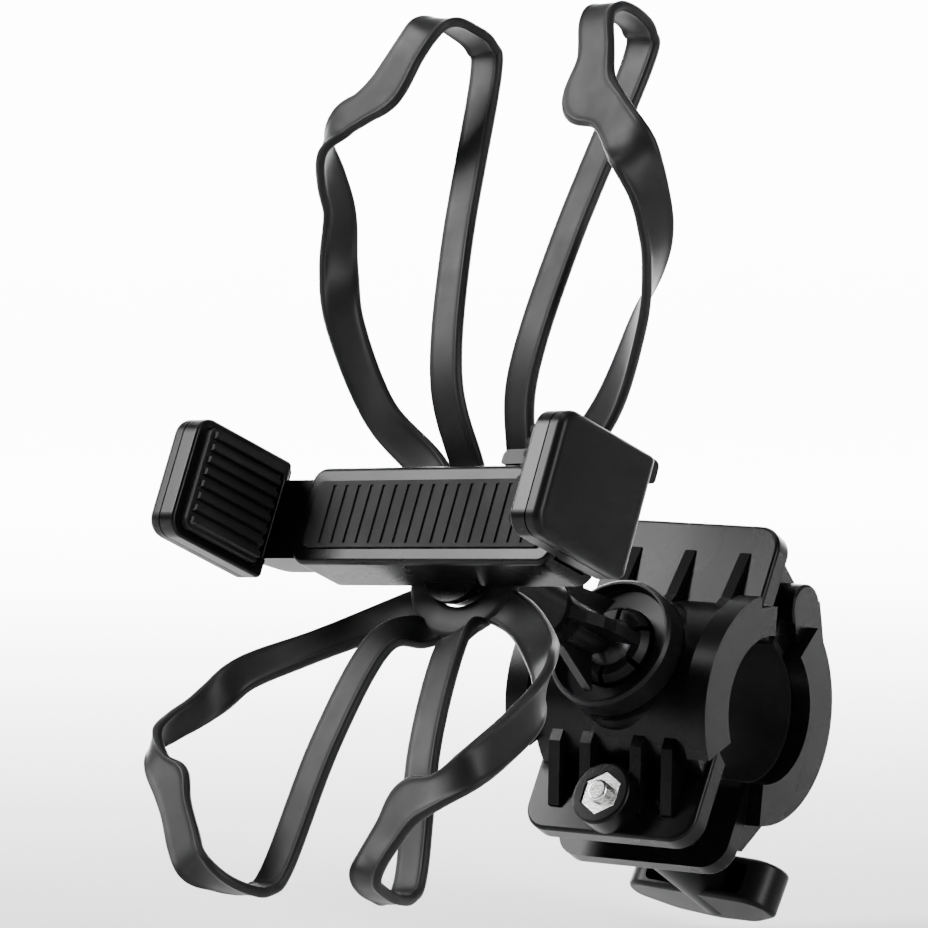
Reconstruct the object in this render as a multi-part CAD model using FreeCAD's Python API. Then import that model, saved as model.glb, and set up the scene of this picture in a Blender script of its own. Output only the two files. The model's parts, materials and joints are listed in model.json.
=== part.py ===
# Phone holder for a motorcycle or bicycle handlebar: split clamp, ball joint and spring-jaw cradle.
# Units are millimetres.  Origin at the centre of the handlebar bore, X along the bar, Z up.
import math
import os

import FreeCAD, Part

# ---- driving dimensions ----
LEAN = 30.0            # the clamp sits rolled back on the bar by this many degrees
BAR_R = 12.7           # one inch handlebar
LINER_T = 1.2          # rubber liner
SHELL_R = 18.0         # clamp shell
BAND_R = 20.2          # raised end bands of the shell
SHELL_HALF = 16.8
BAND_HALF = 20.7
FLANGE_HALF = 17.8
PLATE_T = 3.6
GAP_HALF = 4.0         # half of the gap between the two lower flanges
PIN_Y = 4.7            # hinge pin of the rear shell
PIN_Z = 21.5
PIN_R = 1.5
BOLT_Z = -22.6         # M4 clamp bolt
BOLT_R = 2.0
KNOB_Y = 22.3          # front of the thumb knob's ends
KNOB_HALF = 15.3
BALL_R = 5.0
BALL_Y = -20.0         # ball centre, in front of the bar and a little above its middle
BALL_Z = 1.2
RING_R = 12.0          # lock ring of the ball joint
FIT = 0.06             # radial clearance of running fits
GAP = 0.3              # clearance between moving pieces

PHONE_HALF = 37.2      # half width the jaws are set to
JAW_IN = 40.0
JAW_SEAM = 43.6
JAW_OUT = 46.5
JAW_FRONT = -9.0
JAW_BACK = 14.0
JAW_LOW = -20.5
JAW_HIGH = 1.0
BODY_HALF = 31.0
BODY_FRONT = 10.9
BODY_BACK = 22.0
BODY_LOW = -18.7
BODY_HIGH = -1.0
MID_Z = -9.85          # height of the jaws and of the pinion
STEM_Z = -14.6         # height of the stem axis
BALL_DEPTH = 61.9      # ball centre behind the phone's glass
PINION_PIN_R = 1.25
GEAR_M = 0.7
GEAR_N = 10
PITCH_R = GEAR_M * GEAR_N / 2.0

V = FreeCAD.Vector
X = V(1, 0, 0)
Y = V(0, 1, 0)
Z = V(0, 0, 1)


# ---- small helpers ----
def box(x0, x1, y0, y1, z0, z1):
    return Part.makeBox(x1 - x0, y1 - y0, z1 - z0, V(x0, y0, z0))


def cyl(r, x, y, z, axis, length):
    return Part.makeCylinder(r, length, V(x, y, z), axis)


def put(axis, a, b, c):
    """Point with a, b in the plane across the axis and c along it."""
    if axis == "x":
        return V(c, a, b)
    if axis == "y":
        return V(a, c, b)
    return V(a, b, c)


def prism(axis, pts, radii, lo, hi):
    """Polygon with rounded corners, extruded along an axis."""
    n = len(pts)
    rad = radii if isinstance(radii, list) else [radii] * n
    ends = []
    for i in range(n):
        p = V(pts[i][0], pts[i][1], 0)
        da = V(pts[i - 1][0], pts[i - 1][1], 0) - p
        db = V(pts[(i + 1) % n][0], pts[(i + 1) % n][1], 0) - p
        da.normalize()
        db.normalize()
        if rad[i] <= 0:
            ends.append((p, None, p))
            continue
        half = math.acos(max(-1.0, min(1.0, da.dot(db)))) / 2.0
        bis = da + db
        bis.normalize()
        t = rad[i] / math.tan(half)
        mid = p + bis * (rad[i] / math.sin(half) - rad[i])
        ends.append((p + da * t, mid, p + db * t))
    edges = []
    for i in range(n):
        a, m, b = [None if q is None else put(axis, q.x, q.y, lo) for q in ends[i]]
        if m is not None:
            edges.append(Part.Arc(a, m, b).toShape())
        nxt = ends[(i + 1) % n][0]
        c = put(axis, nxt.x, nxt.y, lo)
        if (c - b).Length > 1e-6:
            edges.append(Part.LineSegment(b, c).toShape())
    face = Part.Face(Part.Wire(edges))
    return face.extrude(put(axis, 0, 0, hi - lo))


def rect(a0, a1, b0, b1):
    return [(a0, b0), (a1, b0), (a1, b1), (a0, b1)]


def ring(axis, r0, r1, x, y, z, length):
    return cyl(r1, x, y, z, axis, length).cut(cyl(r0, x, y, z, axis, length))


def revolve(pts, x, y, z):
    """Closed outline (radius, distance along +Y) turned about the Y line through a point."""
    wire = Part.makePolygon([V(x + r, y + d, z) for r, d in pts + [pts[0]]])
    return Part.Face(wire).revolve(V(x, y, z), Y, 360)


def fuse(parts):
    out = parts[0]
    for p in parts[1:]:
        out = out.fuse(p)
    return out.removeSplitter()


def cut(base, tools):
    for t in tools:
        base = base.cut(t)
    return base


def soften(shape, r, pick):
    """Round the edges that pick() chooses, leaving them sharp if that cannot be done."""
    edges = [e for e in shape.Edges if e.Length > 2 * r and pick(e)]
    if not edges:
        return shape
    try:
        out = shape.makeFillet(r, edges)
        if out.isValid() and out.Volume > 0:
            return out
    except Exception:
        pass
    print("left sharp", r, len(edges))
    return shape


def flat_at(e, axis, value):
    """True for an edge that lies in the plane axis = value."""
    b = e.BoundBox
    lo = {"x": b.XMin, "y": b.YMin, "z": b.ZMin}[axis]
    hi = {"x": b.XMax, "y": b.YMax, "z": b.ZMax}[axis]
    return abs(lo - value) < 1e-3 and abs(hi - value) < 1e-3


# ---- clamp: pieces are drawn with the flanges upright, Y pointing back ----
def sector(r0, r1, a0, a1, x0, x1):
    """Part of a tube along X between two angles, measured from +Z towards -Y."""
    whole = ring(X, r0, r1, x0, 0, 0, x1 - x0)
    far = 60.0
    pts = [(0.0, 0.0)]
    steps = 8
    for i in range(steps + 1):
        a = math.radians(a0 + (a1 - a0) * i / steps)
        pts.append((-far * math.sin(a), far * math.cos(a)))
    return whole.common(prism("x", pts, 0, x0, x1))


def bolt_holes(r):
    return cyl(r, 0, -30, BOLT_Z, Y, 60)


def front_shell():
    liner = BAR_R + LINER_T
    parts = [cyl(SHELL_R, -SHELL_HALF, 0, 0, X, 2 * SHELL_HALF)]
    body = parts[0].common(box(-30, 30, -40, -GAP_HALF, -40, 40))
    top = parts[0].common(box(-30, 30, -GAP_HALF - 1, -0.6, 4, 40))
    parts = [body, top]
    for s in (-1, 1):
        x0 = min(s * SHELL_HALF, s * BAND_HALF)
        x1 = max(s * SHELL_HALF, s * BAND_HALF)
        parts.append(sector(BAR_R + 0.25, BAND_R, 37.5, 140.0, x0 - 0.6, x1))
        parts.append(sector(BAR_R + 0.25, SHELL_R, 22.0, 140.0, x0, x1))
    edge = -GAP_HALF - PLATE_T
    lower = prism("y", rect(-FLANGE_HALF, FLANGE_HALF, -28.6, -11.0), [4.8, 4.8, 0, 0], edge, -GAP_HALF)
    upper = prism("y", rect(-FLANGE_HALF, FLANGE_HALF, 13.0, 31.6), [0, 0, 4.8, 4.8], edge, -GAP_HALF)
    parts += [soften(lower, 0.7, lambda e: flat_at(e, "y", edge)),
              soften(upper, 0.7, lambda e: flat_at(e, "y", edge))]
    for x in (-11.8, -5.3, 5.3, 11.8):
        rib = [(edge + 0.5, -12.0), (-13.4, -11.0), (-13.4, -14.2), (edge - 0.5, -24.2), (edge + 0.5, -24.2)]
        parts.append(prism("x", rib, 0, x - 1.15, x + 1.15))
    for x in (-11.5, 0.0, 11.5):
        rib = [(edge + 0.5, 13.0), (-11.5, 13.0), (-9.4, 16.6), (edge - 0.2, 26.0), (edge + 0.5, 26.0)]
        parts.append(prism("x", rib, 0, x - 1.1, x + 1.1))
    for s in (-1, 1):
        x0 = min(s * 11.9, s * 13.9)
        web = [(-GAP_HALF - 0.5, 18.7), (PIN_Y, PIN_Z - 2.9), (PIN_Y + 3.6, PIN_Z),
               (6.6, 26.6), (-GAP_HALF - 0.5, 30.2)]
        parts.append(prism("x", web, [0, 1.2, 2.0, 1.6, 0], x0, x0 + 2.0))
    boss = cyl(5.8, 0, -12.1, BOLT_Z, Y, 12.1 - GAP_HALF - 1.0)
    parts.append(soften(boss, 0.6, lambda e: flat_at(e, "y", -12.1)))
    skirt = [(0, 9.0), (14.0, 9.0), (12.6, 3.2), (RING_R, 1.6), (RING_R, 0.0), (0, 0.0)]
    parts.append(revolve(skirt, 0, -17.6, BALL_Z))
    parts.append(cyl(9.6, 0, -19.2, BALL_Z, Y, 4.0))
    shell = fuse(parts)
    nut = hexagon(7.2, -12.3, 3.7)
    tools = [cyl(liner, -SHELL_HALF, 0, 0, X, 2 * SHELL_HALF),
             cyl(BAR_R + 0.25, -30, 0, 0, X, 60),
             box(-30, 30, -GAP_HALF, 30, -40, 4),
             bolt_holes(BOLT_R + 0.4),
             nut,
             ring(Y, 9.6, RING_R + GAP, 0, -30.0, BALL_Z, 12.4),
             cyl(7.5, 0, -19.7, BALL_Z, Y, 3.9),
             Part.makeSphere(BALL_R + GAP, V(0, BALL_Y, BALL_Z)),
             cyl(PIN_R, -30, PIN_Y, PIN_Z, X, 60)]
    return cut(shell, tools)


def hexagon(flats, y0, depth):
    r = flats / math.sqrt(3.0)
    pts = []
    for i in range(6):
        a = math.radians(60 * i + 30)
        pts.append((r * math.cos(a), BOLT_Z + r * math.sin(a)))
    return prism("y", pts, 0, y0, y0 + depth)


def rear_shell():
    full = cyl(SHELL_R, -SHELL_HALF, 0, 0, X, 2 * SHELL_HALF)
    parts = [full.common(box(-30, 30, GAP_HALF, 40, -40, 40)),
             full.common(box(-30, 30, 0.6, GAP_HALF + 1, 4, 40))]
    for s in (-1, 1):
        x0 = min(s * SHELL_HALF, s * BAND_HALF)
        x1 = max(s * SHELL_HALF, s * BAND_HALF)
        parts.append(sector(BAR_R + 0.25, BAND_R, -159.0, -20.0, x0 - 0.6, x1))
    rear = GAP_HALF + PLATE_T
    lower = prism("y", rect(-FLANGE_HALF, FLANGE_HALF, -28.6, -11.0), [4.8, 4.8, 0, 0], GAP_HALF, rear)
    parts.append(soften(lower, 0.7, lambda e: flat_at(e, "y", rear)))
    for s in (-1, 1):
        x0 = min(s * 15.6, s * 17.8)
        gus = [(rear - 0.5, -10.0), (14.4, -10.0), (13.6, -14.4), (rear + 0.8, -23.4), (rear - 0.5, -23.4)]
        parts.append(prism("x", gus, 0, x0, x0 + 2.2))
        a0 = min(s * 14.2, s * 18.8)
        arm = [(PIN_Y - 3.4, PIN_Z - 2.0), (PIN_Y + 3.2, PIN_Z + 3.1), (15.2, 15.6), (19.0, 7.0),
               (17.0, 2.0), (12.5, 8.5), (3.6, 16.4)]
        parts.append(prism("x", arm, [0, 0, 4.0, 3.0, 0, 0, 0], a0, a0 + 4.6))
        knuckle = cyl(4.4, a0, PIN_Y, PIN_Z, X, 4.6)
        parts.append(soften(knuckle, 0.5, lambda e: flat_at(e, "x", s * 18.8)))
    shell = fuse(parts)
    tools = [cyl(BAR_R + LINER_T, -SHELL_HALF, 0, 0, X, 2 * SHELL_HALF),
             cyl(BAR_R + 0.25, -30, 0, 0, X, 60),
             box(-30, 30, -30, GAP_HALF, -40, 4),
             bolt_holes(2.9),
             cyl(PIN_R + FIT, -17.5, PIN_Y, PIN_Z, X, 35.0)]
    return cut(shell, tools)


def liner(sign):
    whole = ring(X, BAR_R, BAR_R + LINER_T, -SHELL_HALF + 0.1, 0, 0, 2 * SHELL_HALF - 0.2)
    if sign < 0:
        half = whole.common(box(-30, 30, -40, -GAP_HALF - 0.2, -40, 40))
        top = whole.common(box(-30, 30, -GAP_HALF - 1, -0.8, 4, 40))
    else:
        half = whole.common(box(-30, 30, GAP_HALF + 0.2, 40, -40, 40))
        top = whole.common(box(-30, 30, 0.8, GAP_HALF + 1, 4, 40))
    return fuse([half, top])


def hinge_pin():
    pin = cyl(PIN_R, -17.2, PIN_Y, PIN_Z, X, 34.4)
    return soften(pin, 0.3, lambda e: flat_at(e, "x", -17.2) or flat_at(e, "x", 17.2))


def clamp_nut():
    return hexagon(6.9, -11.8, 3.0).cut(cyl(BOLT_R + FIT, 0, -20, BOLT_Z, Y, 20))


def thrust_washer():
    return ring(Y, BOLT_R + FIT, 4.6, 0, GAP_HALF + PLATE_T + GAP, BOLT_Z, 1.1)


def clamp_bolt():
    rod = cyl(BOLT_R, 0, -13.4, BOLT_Z, Y, KNOB_Y + 17.9)
    rod = soften(rod, 0.5, lambda e: flat_at(e, "y", -13.4))
    head = cyl(3.4, 0, KNOB_Y + 2.5, BOLT_Z, Y, 3.0)
    return fuse([rod, head])


def thumb_knob():
    zc = BOLT_Z
    f = KNOB_Y
    k = KNOB_HALF
    pts = [(-k, f), (k, f), (k, f + 6.6), (0.57 * k, f + 11.1), (0.0, f + 12.4), (-0.57 * k, f + 11.1), (-k, f + 6.6)]
    outer = prism("z", pts, [4.7, 4.7, 3.2, 9.0, 14.0, 9.0, 3.2], zc - 4.2, zc + 4.2)
    outer = soften(outer, 0.9, lambda e: flat_at(e, "z", zc - 4.2) or flat_at(e, "z", zc + 4.2))
    pocket = prism("y", rect(5.0 - k, k - 5.0, zc - 3.0, zc + 3.0), 1.3, f - 4, f + 8.6)
    start = GAP_HALF + PLATE_T + 1.7
    hub = cyl(4.5, 0, start, BOLT_Z, Y, f + 9.6 - start)
    hub = soften(hub, 0.5, lambda e: flat_at(e, "y", start))
    body = fuse([outer.cut(pocket), hub])
    body = cut(body, [cyl(BOLT_R, 0, 0, zc, Y, f + 4.5), cyl(3.4, 0, f + 2.5, zc, Y, 3.0)])
    body.rotate(V(0, 0, zc), Y, 3.5)
    return body


def lock_ring():
    """Outline from the seam with the shell forwards; Y runs back, so distances are negative."""
    pts = [(9.6 + FIT, 0.0), (RING_R, 0.0), (RING_R, -4.3), (RING_R - 0.5, -4.9), (RING_R - 0.9, -4.9),
           (RING_R - 1.2, -3.0), (RING_R - 1.4, -2.7), (7.5, -2.2), (7.5, -1.6), (9.6 + FIT, -1.6)]
    return revolve(pts, 0, -17.9, BALL_Z)


def ball_collet():
    body = revolve([(0, 3.9), (7.2, 3.9), (7.2, -1.2), (6.2, -2.4), (0, -2.4)], 0, BALL_Y, BALL_Z)
    body = cut(body, [Part.makeSphere(BALL_R + 0.05, V(0, BALL_Y, BALL_Z)), cyl(3.4, 0, BALL_Y, BALL_Z, Y, 6)])
    for i in range(3):
        slot = box(-10, 10, BALL_Y - 4, BALL_Y + 1.2, BALL_Z - 0.5, BALL_Z + 0.5)
        slot.rotate(V(0, 0, BALL_Z), Y, 60 * i + 30)
        body = body.cut(slot)
    return body


# ---- cradle: drawn with the phone upright, its glass in the plane Y = 0, Y pointing back ----
def ball_stud():
    ball = Part.makeSphere(BALL_R, V(0, BALL_DEPTH, STEM_Z))
    neck = cyl(2.6, 0, BALL_DEPTH - 6.1, STEM_Z, Y, 4.0)
    shaft = cyl(2.5, 0, 24.4, STEM_Z, Y, BALL_DEPTH - 6.0 - 24.4)
    groove = ring(Y, 1.9, 2.6, 0, 25.6, STEM_Z, 1.0)
    return fuse([ball, neck, shaft]).cut(groove)


def stud_clip():
    clip = ring(Y, 1.96, 3.7, 0, 25.65, STEM_Z, 0.9)
    return clip.cut(box(-0.9, 0.9, 20, 30, STEM_Z, STEM_Z + 6))


def finned_stem():
    outline = [(0, 0.0), (6.8, 0.0), (6.8, 1.6), (5.9, 3.2), (5.4, 6.0), (5.2, 20.5), (4.4, 23.0),
               (4.0, 26.0), (4.0, 33.2), (0, 33.2)]
    parts = [revolve(outline, 0, BODY_BACK + 0.05, STEM_Z)]
    y0 = 44.0
    tip = BALL_DEPTH - 4.1
    root = BALL_DEPTH - 6.4
    side = [(y0, 0), (y0, 4.4), (46.5, 6.6), (49.0, 8.6), (51.5, 9.0), (tip, 9.0), (root, 3.6), (root, 0)]
    low = [(y0, 0), (y0, 4.2), (48.5, 4.8), (tip, 9.4), (root, 3.6), (root, 0)]
    top = [(y0, 0), (y0, 4.4), (47.0, 6.2), (tip, 7.2), (root, 3.6), (root, 0)]
    for s in (-1, 1):
        parts.append(prism("z", [(s * r, y) for y, r in side], 0, STEM_Z - 1.0, STEM_Z + 1.0))
    parts.append(prism("x", [(y, STEM_Z - r) for y, r in low], 0, -1.0, 1.0))
    parts.append(prism("x", [(y, STEM_Z + r) for y, r in top], 0, -1.0, 1.0))
    body = fuse(parts)
    return cut(body, [cyl(2.5 + FIT, 0, 20, STEM_Z, Y, 50), cyl(4.1, 0, 25.3, STEM_Z, Y, 1.6),
                      cyl(4.1, 0, 20, STEM_Z, Y, 5.4)])


def body_outline(inset):
    return rect(-BODY_HALF + inset, BODY_HALF - inset, BODY_LOW + inset, BODY_HIGH - inset)


def cradle_housing():
    body = prism("y", body_outline(0), 3.0, BODY_FRONT, 20.0)
    body = soften(body, 0.9, lambda e: flat_at(e, "y", BODY_FRONT))
    tools = [box(-40, 40, 12.4, 19.7, -17.4, -2.3),
             prism("y", body_outline(2.6), 1.5, 10, BODY_FRONT + 0.7),
             box(10.7, 17.3, 16.7, 19.7, -3, 0)]
    for x in (-26.5, 26.5):
        for z in (BODY_LOW + 0.7, BODY_HIGH - 0.7):
            tools.append(cyl(0.45, x, 15, z, Y, 6))
    body = cut(body, tools)
    post = cyl(PINION_PIN_R + 1.0, 0, 12.3, MID_Z, Y, 0.3)
    body = fuse([body, post])
    return cut(body, [cyl(PINION_PIN_R, 0, 11.8, MID_Z, Y, 5), box(-5, 5, 19.7, 20.1, MID_Z - 5, MID_Z + 5)])


def back_cover():
    plate = prism("y", body_outline(0), 3.0, 20.0, BODY_BACK)
    boss = cyl(7.4, 0, 20.0, STEM_Z, Y, BODY_BACK - 20.0)
    parts = [plate, boss]
    body = fuse(parts)
    body = soften(body, 0.7, lambda e: flat_at(e, "y", BODY_BACK))
    tools = [cyl(PINION_PIN_R, 0, 19, MID_Z, Y, 1.8)]
    for x in (-26.5, 26.5):
        for z in (BODY_LOW + 3.4, BODY_HIGH - 3.4):
            tools.append(cyl(1.0, x, 19, z, Y, 6))
            tools.append(cyl(1.9, x, 20.9, z, Y, 4))
    return cut(body, tools)


def cover_screws():
    out = []
    for x in (-26.5, 26.5):
        for z in (BODY_LOW + 3.4, BODY_HIGH - 3.4):
            head = cyl(1.8, x, 20.95, z, Y, 1.0)
            shank = cyl(0.95, x, 20.0, z, Y, 1.2)
            one = fuse([head, shank])
            one = cut(one, [box(x - 1.3, x + 1.3, 21.5, 23, z - 0.22, z + 0.22),
                            box(x - 0.22, x + 0.22, 21.5, 23, z - 1.3, z + 1.3)])
            out.append(one)
    return Part.makeCompound(out)


def front_pad():
    pad = prism("y", body_outline(2.8), 1.4, BODY_FRONT - 0.5, BODY_FRONT + 0.7)
    grooves = []
    for i in range(-8, 9):
        grooves.append(box(i * 3.0 - 0.4, i * 3.0 + 0.4, BODY_FRONT - 1.0, BODY_FRONT - 0.2, -15.2, -4.6))
    return cut(pad, grooves)


def rack_teeth(z_line, up, x0, x1, shift):
    """Trapezoid teeth along X; up is +1 when they point upwards."""
    pitch = math.pi * GEAR_M
    slope = math.tan(math.radians(20))
    teeth = []
    first = int(math.ceil((x0 - shift) / pitch))
    last = int(math.floor((x1 - shift) / pitch))
    for i in range(first, last + 1):
        x = shift + i * pitch
        wide = pitch / 4.0 - 0.09
        root = wide + 0.95 * slope
        tip = wide - 0.62 * slope
        pts = [(x - root, z_line - up * 0.95), (x - tip, z_line + up * 0.62),
               (x + tip, z_line + up * 0.62), (x + root, z_line - up * 0.95)]
        if up < 0:
            pts.reverse()
        teeth.append(prism("y", pts, 0, 12.8, 16.6))
    return teeth


def pinion():
    """Tooth spaces are what a rack with the same pitch leaves when it rolls round the blank."""
    pitch = math.pi * GEAR_M
    slope = math.tan(math.radians(20))
    outer = PITCH_R + 0.62
    root = PITCH_R - 0.85
    flank = []
    levels = 8
    for k in range(levels + 1):
        r = root + (outer - root) * k / levels
        worst = 0.0
        for j in range(-80, 81):
            turn = j * 0.01
            for i in range(-60, 61):
                a = i * 0.01
                px = r * math.sin(a + turn)
                pz = r * math.cos(a + turn) - PITCH_R
                if pz < -0.70:
                    continue
                half = pitch / 4.0 - 0.02 + pz * slope
                if abs(px - turn * PITCH_R) < half and abs(a) > worst:
                    worst = abs(a)
        flank.append((r, worst))
    pts = []
    for n in range(GEAR_N):
        mid = 2 * math.pi * n / GEAR_N
        for r, w in reversed(flank):
            pts.append((r * math.sin(mid - w), MID_Z + r * math.cos(mid - w)))
        for r, w in flank:
            pts.append((r * math.sin(mid + w), MID_Z + r * math.cos(mid + w)))
    clean = []
    for p in pts:
        if not clean or math.hypot(p[0] - clean[-1][0], p[1] - clean[-1][1]) > 0.02:
            clean.append(p)
    if math.hypot(clean[0][0] - clean[-1][0], clean[0][1] - clean[-1][1]) < 0.02:
        clean.pop()
    gear = prism("y", clean, 0, 12.9, 16.5)
    hub = cyl(2.3, 0, 16.4, MID_Z, Y, 2.6)
    return fuse([gear, hub]).cut(cyl(PINION_PIN_R + FIT, 0, 10, MID_Z, Y, 15))


def pinion_pin():
    return cyl(PINION_PIN_R, 0, 11.8, MID_Z, Y, 9.0)


def mirrored(shape, s):
    return shape if s > 0 else shape.mirror(V(0, 0, 0), X)


JAW_ROUND = [3.4, 1.0, 1.0, 3.4]   # front corners round, back corners nearly square


def jaw_outline(inset):
    return rect(JAW_FRONT + inset, JAW_BACK - inset, JAW_LOW + inset, JAW_HIGH - inset)


def jaw_arm(s):
    """Inner frame of a jaw with its sliding arm and rack; the right arm runs above the pinion."""
    frame = prism("x", jaw_outline(0), JAW_ROUND, JAW_IN, JAW_SEAM - 0.25)
    frame = soften(frame, 0.6, lambda e: flat_at(e, "x", JAW_IN))
    neck = prism("x", jaw_outline(0.9), 2.6, JAW_SEAM - 0.5, JAW_SEAM)
    elbow = prism("z", [(31.0, 12.7), (39.6, 12.7), (40.2, 11.2), (43.3, 11.2), (43.3, 14.6), (40.2, 19.4),
                        (31.0, 19.4)], [0, 0, 0, 0, 0.8, 3.0, 0], -17.1, -2.6)
    block = box(26.0, 31.5, 12.7, 19.4, -17.1, -2.6)
    ear = prism("x", rect(10.5, 15.8, -3.2, 0.9), [0, 1.0, 1.2, 0.4], JAW_SEAM - 1.6, JAW_SEAM - 0.1)
    lug = prism("x", rect(10.5, 15.4, -13.4, -9.6), [0, 1.0, 1.0, 0], JAW_SEAM - 1.6, JAW_SEAM - 0.1)
    recess = prism("x", jaw_outline(1.5), 1.8, JAW_IN - 1, JAW_IN + 0.8)
    if s > 0:
        bar = box(-10.0, 27.0, 12.8, 16.6, MID_Z + PITCH_R + 0.9, -2.6)
        teeth = rack_teeth(MID_Z + PITCH_R, -1, -9.2, 24.5, 0.0)
    else:
        bar = box(-10.0, 27.0, 12.8, 16.6, -17.1, MID_Z - PITCH_R - 0.9)
        teeth = rack_teeth(MID_Z - PITCH_R, 1, -9.2, 24.5, 0.0)
    body = fuse([frame, neck, elbow, block, ear, lug, bar] + teeth)
    return mirrored(body.cut(recess), s)


def jaw_cover(s):
    cover = prism("x", jaw_outline(0), JAW_ROUND, JAW_SEAM + 0.05, JAW_OUT)
    cover = soften(cover, 1.5, lambda e: flat_at(e, "x", JAW_OUT))
    ear = prism("x", rect(10.5, 15.8, -3.2, 0.9), [0, 1.0, 1.2, 0.4], JAW_SEAM + 0.05, JAW_SEAM + 1.6)
    return mirrored(fuse([cover, ear]), s)


def jaw_pad(s):
    base = prism("x", jaw_outline(1.7), 1.6, PHONE_HALF + 1.1, JAW_IN + 0.8)
    base = base.common(box(30, 50, -20, 10.3, -40, 40))
    parts = [base]
    for i in range(8):
        z = JAW_LOW + 3.0 + i * 2.2
        rib = prism("y", [(PHONE_HALF, z - 0.45), (PHONE_HALF + 1.3, z - 0.75), (PHONE_HALF + 1.3, z + 0.75),
                          (PHONE_HALF, z + 0.45)], 0, JAW_FRONT + 2.3, 9.9)
        parts.append(rib)
    return mirrored(fuse(parts), s)


def release_button():
    cap = prism("y", rect(9.8, 18.2, 0.6, 3.2), [0.5, 0.5, 1.3, 1.3], 14.6, 19.6)
    stem = box(11.0, 17.0, 17.0, 19.4, -9.2, 0.8)
    tooth = prism("x", [(17.2, -9.2), (13.4, -9.2), (13.4, -8.2), (14.2, -7.6), (17.2, -7.6)], 0, 12.0, 16.0)
    return fuse([cap, stem, tooth])


def button_spring():
    helix = Part.makeHelix(1.1, 7.4, 0.85)
    helix.translate(V(14.0, 18.2, -17.1))
    helix.rotate(V(14.0, 18.2, 0), Z, 0)
    start = Part.Wire(Part.makeCircle(0.24, V(14.85, 18.2, -17.1), Y))
    return Part.Wire(helix).makePipeShell([start], True, True)


# Centre line of each strap loop: out from the hub, round the side edge, across the phone's corner, back to the hub.
STRAP_LOOPS = [
    [(6, 23.3, -7), (15, 23.3, 2.5), (27, 18.5, 12), (35.5, 12.3, 24), (38.2, 9.6, 33), (38.9, 7.2, 39),
     (38.9, 3.2, 44), (38.0, -0.9, 48.2), (35.5, -1.6, 51.5), (29, -1.6, 57.5), (24.5, -1.6, 62.8),
     (22.3, -1.6, 69), (21, -1.2, 75.5), (20.6, 1.5, 77.8), (20.3, 5.5, 78.2), (19.6, 10, 77.2),
     (18.5, 12.3, 72), (13, 12.3, 40), (9, 15, 16), (6, 23.3, 2), (3, 23.3, -5)],
    [(-6, 23.3, -7), (-15, 23.3, 2.5), (-27, 18.5, 12), (-35.5, 12.3, 26), (-38.2, 10, 36), (-38.9, 7.5, 45),
     (-39, 3.5, 50), (-38.4, -0.8, 54.3), (-35, -1.6, 58.8), (-29.5, -1.6, 62.4), (-25.5, -1.6, 67),
     (-22, -1.6, 73), (-20.2, -1.0, 76.6), (-19.5, 2, 78), (-19, 6, 78.2), (-18.3, 10.2, 77),
     (-17.5, 12.3, 72), (-13, 12.3, 40), (-9, 15, 16), (-6, 23.3, 2), (-3, 23.3, -5)],
    [(-6, 23.3, -22), (-15, 23.3, -23.5), (-27, 18.5, -31), (-35.5, 12.3, -38), (-38.2, 10, -43.5),
     (-38.9, 7, -47.5), (-38.9, 3, -51.5), (-38.0, -0.9, -55.2), (-35, -1.6, -59.5), (-30.5, -1.6, -63.5),
     (-26.5, -1.6, -67.5), (-22.5, -1.6, -73), (-19.3, -1.1, -77), (-17, 2, -78.2), (-15.5, 6, -78.2),
     (-14.5, 10.2, -77), (-14, 12.3, -72), (-11, 12.3, -50), (-8.5, 16, -31), (-5, 23.3, -26), (-3, 23.3, -23)],
    [(6, 23.3, -22), (15, 23.3, -23.5), (27, 18.5, -31), (35.5, 12.3, -37), (38.2, 10, -42.5),
     (38.9, 7.5, -47), (38.9, 3.2, -53), (38.0, -0.9, -58.5), (33, -1.6, -62.6), (28, -1.6, -65.2),
     (24.8, -1.6, -70), (22.6, -1.6, -75), (21.6, -0.8, -77.4), (20.8, 2, -78.3), (20, 6, -78.3),
     (18.8, 10.2, -77), (17.5, 12.3, -72), (12.5, 12.3, -50), (8.5, 16, -31), (5, 23.3, -26), (3, 23.3, -23)],
]


def strap():
    """Stretchy strap: a hub behind the cradle and four loops that hook over the phone's corners."""
    parts = [ring(Y, 7.2, 13.0, 0, BODY_BACK + 0.3, STEM_Z, 2.0)]
    for run in STRAP_LOOPS:
        for i in range(len(run) - 1):
            a = V(*run[i])
            b = V(*run[i + 1])
            parts.append(Part.makeCylinder(1.2, (b - a).Length, a, b - a))
            parts.append(Part.makeSphere(1.2, a))
        parts.append(Part.makeSphere(1.2, V(*run[-1])))
    return fuse(parts)


# ---- placing everything in the shared frame ----
LEAN_PLACE = FreeCAD.Placement(V(0, 0, 0), FreeCAD.Rotation(X, -LEAN))
TURN = (FreeCAD.Rotation(Z, -9.35).multiply(FreeCAD.Rotation(X, 4.6))).multiply(FreeCAD.Rotation(Y, 1.3))
CRADLE_PLACE = LEAN_PLACE.multiply(FreeCAD.Placement(V(0, BALL_Y, BALL_Z), TURN)).multiply(
    FreeCAD.Placement(V(0, -BALL_DEPTH, -STEM_Z), FreeCAD.Rotation()))


def write(name, shape, place):
    out = shape.copy()
    out.Placement = place.multiply(out.Placement)
    bad = [s for s in out.Solids if not s.isValid()]
    print(name, len(out.Solids), round(out.Volume, 2), "BAD" if bad or not out.Solids else "")
    out.exportStep(os.path.join("parts", name + ".step"))


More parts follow.
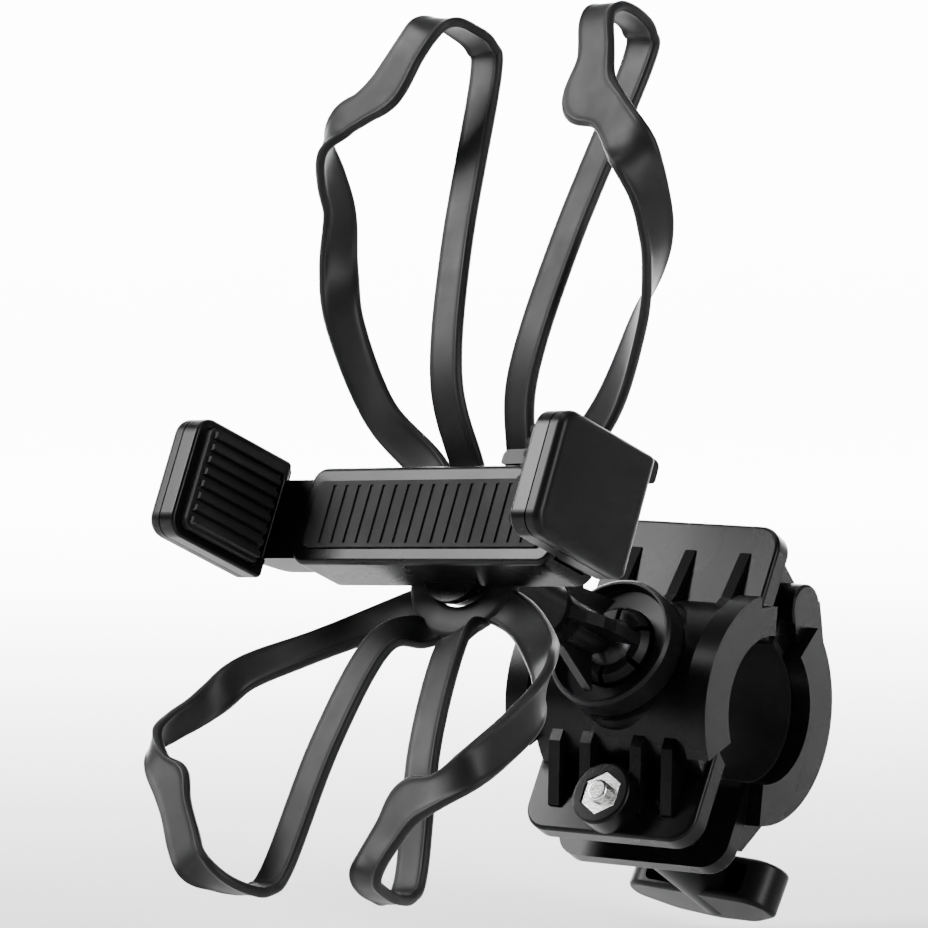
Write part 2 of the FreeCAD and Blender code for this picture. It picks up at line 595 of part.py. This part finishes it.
def main():
    os.makedirs("parts", exist_ok=True)
    clamp = {"clamp_front_shell": front_shell(), "clamp_rear_shell": rear_shell(), "front_liner": liner(-1),
             "rear_liner": liner(1), "hinge_pin": hinge_pin(), "clamp_nut": clamp_nut(),
             "thrust_washer": thrust_washer(), "clamp_bolt": clamp_bolt(), "thumb_knob": thumb_knob(),
             "lock_ring": lock_ring(), "ball_collet": ball_collet()}
    cradle = {"ball_stud": ball_stud(), "stud_clip": stud_clip(), "finned_stem": finned_stem(),
              "cradle_housing": cradle_housing(), "back_cover": back_cover(), "cover_screws": cover_screws(),
              "front_pad": front_pad(), "pinion": pinion(), "pinion_pin": pinion_pin(),
              "release_button": release_button(), "button_spring": button_spring(),
              "strap": strap()}
    for s, side in ((1, "right"), (-1, "left")):
        cradle[side + "_jaw_arm"] = jaw_arm(s)
        cradle[side + "_jaw_cover"] = jaw_cover(s)
        cradle[side + "_jaw_pad"] = jaw_pad(s)
    for name, shape in clamp.items():
        write(name, shape, LEAN_PLACE)
    for name, shape in cradle.items():
        write(name, shape, CRADLE_PLACE)


main()
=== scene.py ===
import json
import math

import bpy
from mathutils import Matrix, Vector


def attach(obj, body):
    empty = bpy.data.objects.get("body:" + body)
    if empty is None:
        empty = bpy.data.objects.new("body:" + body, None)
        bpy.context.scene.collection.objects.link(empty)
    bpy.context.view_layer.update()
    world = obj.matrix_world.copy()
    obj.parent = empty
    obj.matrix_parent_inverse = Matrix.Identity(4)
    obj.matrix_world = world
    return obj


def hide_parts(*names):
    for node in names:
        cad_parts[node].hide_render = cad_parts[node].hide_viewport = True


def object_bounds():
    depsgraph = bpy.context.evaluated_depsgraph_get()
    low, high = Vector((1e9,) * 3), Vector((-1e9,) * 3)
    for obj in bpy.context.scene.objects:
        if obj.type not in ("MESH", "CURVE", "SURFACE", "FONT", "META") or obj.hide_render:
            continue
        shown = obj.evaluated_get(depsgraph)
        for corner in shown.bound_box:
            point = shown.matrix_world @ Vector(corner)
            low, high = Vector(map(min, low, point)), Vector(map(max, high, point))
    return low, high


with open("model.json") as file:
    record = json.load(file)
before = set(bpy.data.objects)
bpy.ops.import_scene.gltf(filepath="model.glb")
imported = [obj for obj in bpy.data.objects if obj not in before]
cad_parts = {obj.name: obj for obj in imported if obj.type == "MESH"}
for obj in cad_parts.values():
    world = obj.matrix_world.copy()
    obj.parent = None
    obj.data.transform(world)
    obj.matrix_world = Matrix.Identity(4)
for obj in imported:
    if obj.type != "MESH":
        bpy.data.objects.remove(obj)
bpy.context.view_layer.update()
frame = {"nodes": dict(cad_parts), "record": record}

MM = 0.001

# ---- the cradle's own frame: X across the phone, Y back from its glass, Z up the phone ----
# The part's own values, in millimetres and degrees.
LEAN = 30.0                        # how far the clamp is rolled back on the bar
BALL = Vector((0.0, -20.0, 1.2))   # the ball's centre in the clamp's frame
STEM = Vector((0.0, 61.9, -14.6))  # the same point in the cradle's frame


def rot(axis, deg):
    return Matrix.Rotation(math.radians(deg), 4, axis)


CLAMP = rot("X", -LEAN)
CRADLE_TURN = rot("Z", -9.35) @ rot("X", 4.6) @ rot("Y", 1.3)
CRADLE = CLAMP @ Matrix.Translation(BALL) @ CRADLE_TURN @ Matrix.Translation(-STEM)


def at(p):
    """Point of the cradle's frame, in millimetres, as a point of the row frame in metres."""
    return (CRADLE @ Vector(p)) * MM


# ---- materials ----
SKIN_GRAIN = 5200.0
SKIN_DEPTH = 0.00003
PLASTIC_GLOSS = 0.11
RUBBER_GLOSS = 0.16


def shader(name):
    mat = bpy.data.materials.new(name)
    mat.use_nodes = True
    tree = mat.node_tree
    bsdf = tree.nodes["Principled BSDF"]
    coord = tree.nodes.new("ShaderNodeTexCoord")
    return mat, tree, bsdf, coord


def noise(tree, coord, scale, detail=3.0, rough=0.55, stretch=None):
    node = tree.nodes.new("ShaderNodeTexNoise")
    node.inputs["Scale"].default_value = scale
    node.inputs["Detail"].default_value = detail
    node.inputs["Roughness"].default_value = rough
    if stretch:
        mapping = tree.nodes.new("ShaderNodeMapping")
        mapping.inputs["Scale"].default_value = stretch
        tree.links.new(coord.outputs["Object"], mapping.inputs["Vector"])
        tree.links.new(mapping.outputs["Vector"], node.inputs["Vector"])
    else:
        tree.links.new(coord.outputs["Object"], node.inputs["Vector"])
    return node.outputs["Fac"]


def span(tree, value, low, high, start=0.3, end=0.7):
    node = tree.nodes.new("ShaderNodeMapRange")
    node.inputs["From Min"].default_value = start
    node.inputs["From Max"].default_value = end
    node.inputs["To Min"].default_value = low
    node.inputs["To Max"].default_value = high
    tree.links.new(value, node.inputs["Value"])
    return node.outputs["Result"]


def mix_colour(tree, fac, a, b):
    node = tree.nodes.new("ShaderNodeMix")
    node.data_type = "RGBA"
    tree.links.new(fac, node.inputs[0])
    for socket, value in ((node.inputs[6], a), (node.inputs[7], b)):
        if isinstance(value, tuple):
            socket.default_value = value + (1.0,)
        else:
            tree.links.new(value, socket)
    return node.outputs[2]


def bump(tree, bsdf, height, strength, distance):
    node = tree.nodes.new("ShaderNodeBump")
    node.inputs["Strength"].default_value = strength
    node.inputs["Distance"].default_value = distance
    tree.links.new(height, node.inputs["Height"])
    tree.links.new(node.outputs["Normal"], bsdf.inputs["Normal"])


def edges(tree, low, high):
    """1 on worn convex edges, 0 elsewhere."""
    geo = tree.nodes.new("ShaderNodeNewGeometry")
    return span(tree, geo.outputs["Pointiness"], 0.0, 1.0, low, high)


def plastic(name, colour, worn, rough):
    """Moulded nylon: near black, a fine skin, and slightly paler worn edges."""
    mat, tree, bsdf, coord = shader(name)
    broad = noise(tree, coord, 55.0, 4.0)
    fine = noise(tree, coord, SKIN_GRAIN, 2.0)
    scuffs = noise(tree, coord, 420.0, 6.0, 0.75, (1.0, 0.25, 1.0))
    paler = tuple(c * 1.25 for c in colour)
    tint = mix_colour(tree, span(tree, broad, 0.0, 1.0, 0.35, 0.65), colour, paler)
    wear = tree.nodes.new("ShaderNodeMath")
    wear.operation = "MULTIPLY"
    tree.links.new(edges(tree, 0.56, 0.68), wear.inputs[0])
    tree.links.new(span(tree, scuffs, 0.0, 1.0, 0.45, 0.75), wear.inputs[1])
    tree.links.new(mix_colour(tree, wear.outputs[0], tint, worn), bsdf.inputs["Base Color"])
    tree.links.new(span(tree, broad, rough - 0.015, rough + 0.025, 0.35, 0.7), bsdf.inputs["Roughness"])
    bsdf.inputs["Specular IOR Level"].default_value = PLASTIC_GLOSS
    bump(tree, bsdf, fine, 0.2, SKIN_DEPTH)
    return mat


def rubber(name, colour, dusty, rough, grain=3000.0):
    """Soft rubber or silicone: matte, a little dusty in patches."""
    mat, tree, bsdf, coord = shader(name)
    broad = noise(tree, coord, 90.0, 5.0, 0.6)
    fine = noise(tree, coord, grain, 3.0)
    dust = span(tree, broad, 0.0, 1.0, 0.42, 0.78)
    tree.links.new(mix_colour(tree, dust, colour, dusty), bsdf.inputs["Base Color"])
    tree.links.new(span(tree, broad, rough - 0.05, rough + 0.08), bsdf.inputs["Roughness"])
    bsdf.inputs["Specular IOR Level"].default_value = RUBBER_GLOSS
    bump(tree, bsdf, fine, 0.3, 0.00004)
    return mat


def metal(name, colour, dark, rough, stretch=(1.0, 1.0, 14.0)):
    """Brushed metal with darker patches."""
    mat, tree, bsdf, coord = shader(name)
    brushed = noise(tree, coord, 900.0, 4.0, 0.6, stretch)
    patch = noise(tree, coord, 260.0, 5.0, 0.65)
    tint = mix_colour(tree, span(tree, patch, 0.0, 1.0, 0.45, 0.75), colour, dark)
    tree.links.new(tint, bsdf.inputs["Base Color"])
    tree.links.new(span(tree, brushed, rough - 0.07, rough + 0.1), bsdf.inputs["Roughness"])
    bsdf.inputs["Metallic"].default_value = 1.0
    bump(tree, bsdf, brushed, 0.15, 0.00003)
    return mat


MATS = {
    "body_plastic": plastic("body_plastic", (0.0014, 0.0014, 0.0016), (0.005, 0.005, 0.0052), 0.28),
    "trim_plastic": plastic("trim_plastic", (0.0028, 0.0028, 0.0030), (0.008, 0.008, 0.0082), 0.36),
    "inner_plastic": plastic("inner_plastic", (0.0018, 0.0018, 0.0020), (0.006, 0.006, 0.006), 0.42),
    "pad_rubber": rubber("pad_rubber", (0.0022, 0.0022, 0.0024), (0.006, 0.006, 0.006), 0.62),
    "liner_rubber": rubber("liner_rubber", (0.003, 0.003, 0.003), (0.008, 0.008, 0.008), 0.70),
    "strap_silicone": rubber("strap_silicone", (0.0050, 0.0050, 0.0052), (0.0075, 0.0075, 0.0077), 0.46,
                             2200.0),
    "zinc_steel": metal("zinc steel", (0.80, 0.80, 0.79), (0.55, 0.55, 0.54), 0.22),
    "ball_steel": metal("ball steel", (0.020, 0.020, 0.021), (0.012, 0.012, 0.0125), 0.34),
}
SLOTS = {row["node"]: row["material_slot"] for row in frame["record"]["subparts"]}

for node, obj in frame["nodes"].items():
    obj.data.materials.clear()
    obj.data.materials.append(MATS[SLOTS[node]])


# ---- the stretch strap: flat silicone bands with beaded edges, hooked over the phone's corners ----
# Each stop is x, y, z in the cradle's frame, the direction the outer face looks, and the band's width.
BACK = (0, 1, 0)
FRONT = (0, -1, 0)
TOP = (0, 0, 1)
LOW = (0, 0, -1)


def side(s, y=0.0):
    return (s, y, 0)


THICK = 2.0
STEPS = 9  # rows of the mesh between one stop and the next
# the leaf-shaped lobes are wider on one side of the band: how far it reaches each way
LOBE_TR = (7.6, 4.2)
LOBE_TL = (4.2, 5.6)
LOBE_BL = (4.8, 3.2)
LOBE_BR = (3.6, 5.6)
LOOPS = {
    "top right": [
        (5, 23.3, -9, BACK, 7), (15, 23.3, 2.5, BACK, 7), (27, 18.5, 12, (0.2, 1, 0.3), 7),
        (35.0, 12.6, 24, (0.5, 1, 0), 7.5), (38.2, 9.6, 33, side(1, 0.45), 8),
        (38.9, 7.0, 39, side(1), 8.2), (38.9, 3.2, 44, side(1, -0.2), 8.4),
        (38.0, -0.7, 48.2, (1, -1, 0), 8.6), (35.0, -1.5, 51.8, FRONT, 8.8),
        (30.0, -1.6, 56.6, FRONT, 8.0), (25.4, -1.6, 61.2, FRONT, LOBE_TR),
        (23.0, -1.6, 67.6, FRONT, 8.0), (20.8, -1.4, 74.2, FRONT, 7.6),
        (20.5, 0.4, 77.3, (0, -1, 1), 7.6), (20.3, 5.0, 78.2, TOP, 7.6),
        (19.6, 10.0, 77.3, (0, 1, 1), 7.6), (18.5, 12.5, 72, BACK, 7.4), (13, 12.5, 40, BACK, 7),
        (9, 15, 16, BACK, 7), (6, 23.3, 2, BACK, 7), (3, 23.3, -7, BACK, 7),
    ],
    "top left": [
        (-5, 23.3, -9, BACK, 7), (-15, 23.3, 2.5, BACK, 7), (-27, 18.5, 12, (-0.2, 1, 0.3), 7),
        (-35.2, 12.6, 26, (-0.5, 1, 0), 7), (-38.2, 10, 36, side(-1, 0.45), 7.4),
        (-38.9, 7.5, 45, side(-1), 7.6), (-39.0, 3.5, 50, side(-1, -0.2), 7.8),
        (-38.2, -0.6, 54.6, (-1, -1, 0), 7.8), (-34.6, -1.5, 58.8, FRONT, 7.4),
        (-30.4, -1.6, 61.0, FRONT, 7.4), (-26.4, -1.6, 64.8, FRONT, LOBE_TL),
        (-22.8, -1.6, 71.2, FRONT, 8.6), (-20.6, -1.4, 75.4, (0.1, -1, 0.2), 8.2),
        (-19.4, 1.0, 77.8, (0, -1, 1), 7.8), (-18.8, 5.5, 78.2, TOP, 7.6),
        (-18.2, 10.2, 77.2, (0, 1, 1), 7.4), (-17.5, 12.5, 72, BACK, 7.2), (-13, 12.5, 40, BACK, 7),
        (-9, 15, 16, BACK, 7), (-6, 23.3, 2, BACK, 7), (-3, 23.3, -7, BACK, 7),
    ],
    "bottom left": [
        (-5, 23.3, -20, BACK, 7), (-15, 23.3, -23.5, BACK, 7), (-27, 18.5, -31, (-0.2, 1, -0.3), 7),
        (-35.2, 12.6, -38, (-0.5, 1, 0), 6.6), (-38.2, 10, -43.5, side(-1, 0.45), 6.2),
        (-38.9, 7, -47.5, side(-1), 5.8), (-38.9, 3, -51.5, side(-1, -0.2), 5.4),
        (-37.9, -0.6, -55.4, (-1, -1, 0), 5.2), (-34.6, -1.5, -59.8, FRONT, 5.4),
        (-30.3, -1.6, -63.6, FRONT, LOBE_BL), (-26.6, -1.6, -67.6, FRONT, 6.6),
        (-22.6, -1.6, -73.0, FRONT, 7.0), (-19.4, -1.3, -76.6, (0, -1, -0.3), 7.0),
        (-16.6, 1.6, -78.2, (0, -0.6, -1), 7.0), (-15.2, 6, -78.3, LOW, 7.0),
        (-14.5, 10.2, -77, (0, 1, -1), 7), (-14, 12.5, -72, BACK, 7), (-11, 12.5, -50, BACK, 7),
        (-8.5, 16, -31, BACK, 7), (-5, 23.3, -26, BACK, 7), (-3, 23.3, -22, BACK, 7),
    ],
    "bottom right": [
        (5, 23.3, -20, BACK, 7), (15, 23.3, -23.5, BACK, 7), (27, 18.5, -31, (0.2, 1, -0.3), 7),
        (35.2, 12.6, -37, (0.5, 1, 0), 7), (38.2, 10, -42.5, side(1, 0.45), 7.2),
        (38.9, 7.5, -47, side(1), 7.2), (38.9, 3.2, -53, side(1, -0.2), 7.0),
        (37.9, -0.6, -58.4, (1, -1, 0), 6.6), (33.0, -1.5, -62.4, FRONT, 6.6),
        (28.0, -1.6, -65.4, FRONT, LOBE_BR), (24.9, -1.6, -69.6, FRONT, 7.2),
        (22.8, -1.6, -74.4, FRONT, 6.8), (21.6, -0.9, -77.2, (0, -1, -0.6), 6.8),
        (20.8, 2, -78.3, (0, -0.4, -1), 6.8), (20, 6, -78.3, LOW, 6.8),
        (18.8, 10.2, -77, (0, 1, -1), 6.8), (17.5, 12.5, -72, BACK, 6.8), (12.5, 12.5, -50, BACK, 7),
        (8.5, 16, -31, BACK, 7), (5, 23.3, -26, BACK, 7), (3, 23.3, -22, BACK, 7),
    ],
}


def smooth(points, steps):
    """Points on a Catmull-Rom curve through the given lists of numbers."""
    out = []
    last = len(points) - 1
    for i in range(last):
        p0 = points[max(i - 1, 0)]
        p1 = points[i]
        p2 = points[i + 1]
        p3 = points[min(i + 2, last)]
        for k in range(steps):
            t = k / steps
            out.append([0.5 * (2 * b + (c - a) * t + (2 * a - 5 * b + 4 * c - d) * t * t
                               + (3 * b - a - 3 * c + d) * t ** 3) for a, b, c, d in zip(p0, p1, p2, p3)])
    out.append(list(points[-1]))
    return out


def band_profile(low, high):
    """Closed cross-section, from -low to high across the band, with beaded edges."""
    top = []
    for i in range(17):
        u = -math.cos(math.pi * i / 16)
        bead = math.exp(-((abs(u) - 0.84) / 0.10) ** 2)
        edge = math.sqrt(max(0.0, 1 - max(0.0, (abs(u) - 0.78) / 0.22) ** 2))
        across = (low + high) / 2 * u + (high - low) / 2
        top.append((across, (THICK / 2) * (0.72 + 0.30 * bead) * edge))
    return top + [(u, -v) for u, v in reversed(top[1:-1])]


def band(stops):
    """One loop: the profile carried along the smooth line through the stops."""
    raw = []
    for s in stops:
        wide = s[4] if isinstance(s[4], tuple) else (s[4] / 2, s[4] / 2)
        raw.append(list(s[:3]) + list(Vector(s[3]).normalized()) + list(wide))
    rows = smooth(raw, STEPS)
    verts = []
    faces = []
    count = len(band_profile(1.0, 1.0))
    for i, row in enumerate(rows):
        here = Vector(row[:3])
        tangent = (Vector(rows[min(i + 1, len(rows) - 1)][:3]) - Vector(rows[max(i - 1, 0)][:3])).normalized()
        out = Vector(row[3:6])
        out = (out - tangent * out.dot(tangent)).normalized()
        across = tangent.cross(out)
        for u, v in band_profile(row[6], row[7]):
            verts.append(at(here + across * u + out * v))
    for i in range(len(rows) - 1):
        for k in range(count):
            a = i * count + k
            b = i * count + (k + 1) % count
            faces.append((a, b, b + count, a + count))
    faces.append(tuple(range(count))[::-1])
    faces.append(tuple((len(rows) - 1) * count + k for k in range(count)))
    return verts, faces


def hub():
    """Flat ring of silicone round the stem's foot, where the loops start."""
    verts = []
    faces = []
    turns = 72
    # radius from the stem's axis and place along it, once round the ring's section
    section = [(7.3, 22.5), (7.6, 22.35), (12.6, 22.35), (13.0, 22.8),
               (13.0, 23.8), (12.6, 24.25), (7.6, 24.25), (7.3, 23.9)]
    count = len(section)
    for i in range(turns):
        a = 2 * math.pi * i / turns
        for r, y in section:
            verts.append(at((r * math.cos(a), y, STEM.z + r * math.sin(a))))
    for i in range(turns):
        for k in range(count):
            a = i * count + k
            b = i * count + (k + 1) % count
            c = ((i + 1) % turns) * count
            faces.append((a, b, c + (k + 1) % count, c + k))
    return verts, faces


def mesh_piece(name, verts, faces, material):
    mesh = bpy.data.meshes.new(name)
    mesh.from_pydata([tuple(v) for v in verts], [], faces)
    mesh.validate()
    mesh.materials.append(material)
    for poly in mesh.polygons:
        poly.use_smooth = True
    obj = bpy.data.objects.new(name, mesh)
    bpy.context.scene.collection.objects.link(obj)
    return obj


strap_verts = []
strap_faces = []
for verts, faces in [band(stops) for stops in LOOPS.values()] + [hub()]:
    start = len(strap_verts)
    strap_verts += verts
    strap_faces += [tuple(start + i for i in f) for f in faces]
strap = mesh_piece("strap_bands", strap_verts, strap_faces, MATS["strap_silicone"])
sub = strap.modifiers.new("round", "SUBSURF")
sub.levels = 1
sub.render_levels = 1
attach(strap, "cradle")
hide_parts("strap")


# ---- shading of the CAD pieces ----
for node, obj in frame["nodes"].items():
    for poly in obj.data.polygons:
        poly.use_smooth = True


# ---- floor, light and camera ----
low, high = [Vector(c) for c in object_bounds()]
FLOOR_GAP = 0.003  # the object stands this far above the floor, in metres
floor_z = low.z - FLOOR_GAP


def stage_mesh(name, verts, faces, colour, rough):
    mat, tree, bsdf, coord = shader(name)
    speck = noise(tree, coord, 30.0, 3.0)
    tree.links.new(mix_colour(tree, span(tree, speck, 0.0, 1.0), colour, tuple(c * 0.985 for c in colour)),
                   bsdf.inputs["Base Color"])
    bsdf.inputs["Roughness"].default_value = rough
    obj = mesh_piece(name, verts, faces, mat)
    return obj


# floor that curves up into a backdrop: distance behind the object and height, in metres
FLOOR = [(-3.0, 0.0), (1.2, 0.0), (1.6, 0.03), (1.9, 0.12), (2.1, 0.28), (2.2, 0.5), (2.25, 3.0)]
FLOOR_HALF = 4.0
WHITE = (0.93, 0.93, 0.93)
AWAY = rot("Z", 36.1)  # turns the stage's own Y to point away from the camera
verts = [AWAY @ Vector((x, y, z + floor_z)) for y, z in FLOOR for x in (-FLOOR_HALF, FLOOR_HALF)]
faces = [(2 * i, 2 * i + 1, 2 * i + 3, 2 * i + 2) for i in range(len(FLOOR) - 1)]
stage_mesh("floor", verts, faces, WHITE, 0.6)


def area(name, place, aim, size, power, spread=180.0):
    data = bpy.data.lights.new(name, "AREA")
    data.shape = "RECTANGLE"
    data.size, data.size_y = size
    data.energy = power
    data.spread = math.radians(spread)
    obj = bpy.data.objects.new(name, data)
    obj.location = place
    obj.rotation_euler = (Vector(aim) - Vector(place)).to_track_quat("-Z", "Y").to_euler()
    bpy.context.scene.collection.objects.link(obj)
    return obj


# place, aim and size in metres, power in watts, spread in degrees
centre = (low + high) / 2
area("key", (1.15, -0.35, 0.55), centre, (0.22, 0.9), 20.0)
area("fill_left", (-0.90, -0.60, 0.74), centre, (0.36, 0.42), 26.0)
area("top", (-0.1, -0.1, 1.2), centre, (0.5, 0.3), 5.0)
area("back_right", (0.9, 0.9, 0.45), centre, (0.12, 0.9), 2.0)
area("sky", AWAY @ Vector((0.0, 1.1, 1.6)), AWAY @ Vector((0.0, 1.9, 0.0)), (3.0, 0.9), 190.0, 75.0)
area("floor_wash", AWAY @ Vector((0.0, 0.88, 1.3)), AWAY @ Vector((0.0, 0.84, 0.0)), (2.8, 0.6), 90.0, 58.0)

# dim even light from all round
WORLD_STRENGTH = 0.18
world = bpy.context.scene.world or bpy.data.worlds.new("World")
bpy.context.scene.world = world
world.use_nodes = True
nodes = world.node_tree.nodes
background = nodes.get("Background") or nodes.new("ShaderNodeBackground")
background.inputs["Color"].default_value = (1.0, 1.0, 1.0, 1.0)
background.inputs["Strength"].default_value = WORLD_STRENGTH

# camera: the place (millimetres) and turn of the view, given in the cradle's frame
CAM_LENS = 217.2
CAM_SENSOR = 36.0
CAM_AT = (666.5, -599.9, -255.3)
CAM_RIGHT = Vector((0.707, 0.659, 0.257))
CAM_AHEAD = Vector((-0.707, 0.653, 0.272))
cam = bpy.data.cameras.new("camera")
cam.lens = CAM_LENS
cam.sensor_width = CAM_SENSOR
cam_obj = bpy.data.objects.new("camera", cam)
right = (CRADLE.to_3x3() @ CAM_RIGHT).normalized()
ahead = (CRADLE.to_3x3() @ CAM_AHEAD).normalized()
right = (right - ahead * right.dot(ahead)).normalized()
up = right.cross(ahead)
turn3 = Matrix((right, up, -ahead)).transposed()
cam_obj.matrix_world = Matrix.Translation(at(CAM_AT)) @ turn3.to_4x4()
bpy.context.scene.collection.objects.link(cam_obj)
bpy.context.scene.camera = cam_obj
